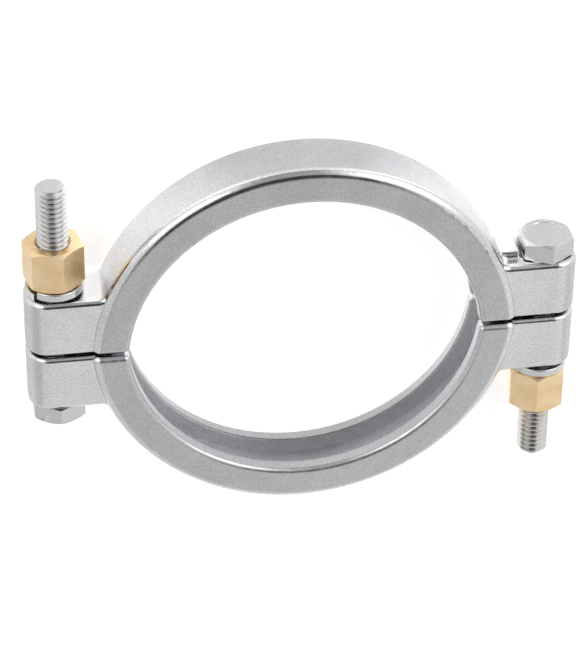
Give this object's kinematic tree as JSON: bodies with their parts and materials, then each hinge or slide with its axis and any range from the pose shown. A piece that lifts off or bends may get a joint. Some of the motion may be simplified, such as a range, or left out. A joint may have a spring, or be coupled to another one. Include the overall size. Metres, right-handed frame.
{
  "type": "bolted sanitary clamp",
  "caption": "Split ring clamp for a sanitary ferrule joint: V-grooved cast steel halves with bolt ears, drawn together by hex bolts with split washers and tall brass nuts",
  "frame": {"origin": "centre of the ring, on the plane where the halves meet and midway between the ring's faces", "axes": "+Z along the axis of the ring, +X across the ears to the bolt whose head is on the rear half, +Y along the bolts towards the rear half"},
  "size_m": [0.1744, 0.1254, 0.021],
  "materials": {
    "cast_steel": "blasted and tumbled stainless casting, polished at the edges",
    "bolt_steel": "machined",
    "washer_steel": "bright coiled wire",
    "nut_brass": "turned and milled from hexagon bar"
  },
  "bodies": {
    "front": {"front_half": "cast_steel", "left_bolt": "bolt_steel", "right_lock_washer": "washer_steel"},
    "rear": {"rear_half": "cast_steel", "right_bolt": "bolt_steel", "left_lock_washer": "washer_steel"},
    "left_nut": {"left_nut": "nut_brass"},
    "right_nut": {"right_nut": "nut_brass"}
  },
  "joints": [
    {"name": "clamp_open", "type": "slide", "parent": "front", "child": "rear", "axis": [0, 1, 0], "range_m": [0, 0.019]},
    {"name": "left_nut_turn", "type": "hinge", "parent": "rear", "child": "left_nut", "pos_m": [-0.0776, 0, 0], "axis": [0, 1, 0], "range_deg": [0, 3910]},
    {"name": "right_nut_turn", "type": "hinge", "parent": "front", "child": "right_nut", "pos_m": [0.0776, 0, 0], "axis": [0, -1, 0], "range_deg": [0, 3910]}
  ],
  "couplings": [
    {"joint": "left_nut_turn", "follows": "clamp_open", "rad_per_m": 3590.4},
    {"joint": "right_nut_turn", "follows": "clamp_open", "rad_per_m": 3590.4}
  ]
}
